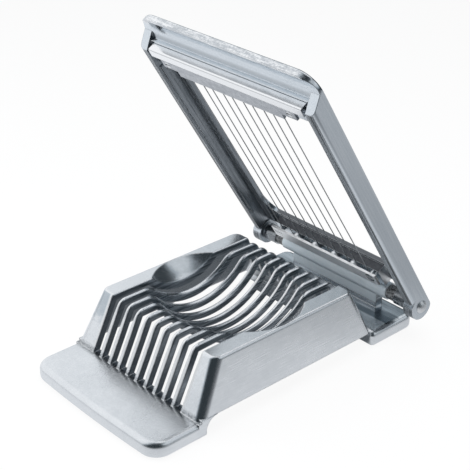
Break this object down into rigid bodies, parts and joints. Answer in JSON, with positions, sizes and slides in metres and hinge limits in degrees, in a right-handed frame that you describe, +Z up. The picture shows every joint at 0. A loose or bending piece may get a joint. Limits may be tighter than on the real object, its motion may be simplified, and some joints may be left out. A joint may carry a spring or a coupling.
{
  "type": "egg slicer",
  "caption": "Cast metal egg slicer: slotted base with an egg hollow, and a hinged frame strung with cutting wire that shuts down over it, shown open.",
  "frame": {"origin": "on the floor under the middle of the object's bounding box", "axes": "+X across the slots, to the right seen from the front tab; +Y from the front tab towards the hinge; +Z up"},
  "size_m": [0.09, 0.129, 0.1218],
  "materials": {
    "cast_metal": "satin, lightly brushed",
    "polished_metal": "polished",
    "bright_steel": "bright",
    "holder_steel": "brushed",
    "wire_steel": "drawn wire",
    "collar": "matte"
  },
  "bodies": {
    "base": {"base_casting": "cast_metal"},
    "cutting_frame": {"frame_casting": "cast_metal", "hinge_axle": "bright_steel", "hinge_collar_left": "collar", "hinge_collar_right": "collar", "front_cover_bar": "polished_metal", "front_wire_holder": "holder_steel", "front_holder_screws": "bright_steel", "front_wire_loops": "wire_steel", "rear_wire_holder": "holder_steel", "rear_holder_screws": "bright_steel", "rear_wire_loops": "wire_steel", "wire_run_01": "wire_steel", "wire_run_02": "wire_steel", "wire_run_03": "wire_steel", "wire_run_04": "wire_steel", "wire_run_05": "wire_steel", "wire_run_06": "wire_steel", "wire_run_07": "wire_steel", "wire_run_08": "wire_steel", "wire_run_09": "wire_steel", "wire_run_10": "wire_steel"}
  },
  "joints": [
    {"name": "frame_hinge", "type": "hinge", "parent": "base", "child": "cutting_frame", "pos_m": [0, 0.0577, 0.0151], "axis": [-1, 0, 0], "range_deg": [-61.2, 46.6]}
  ]
}
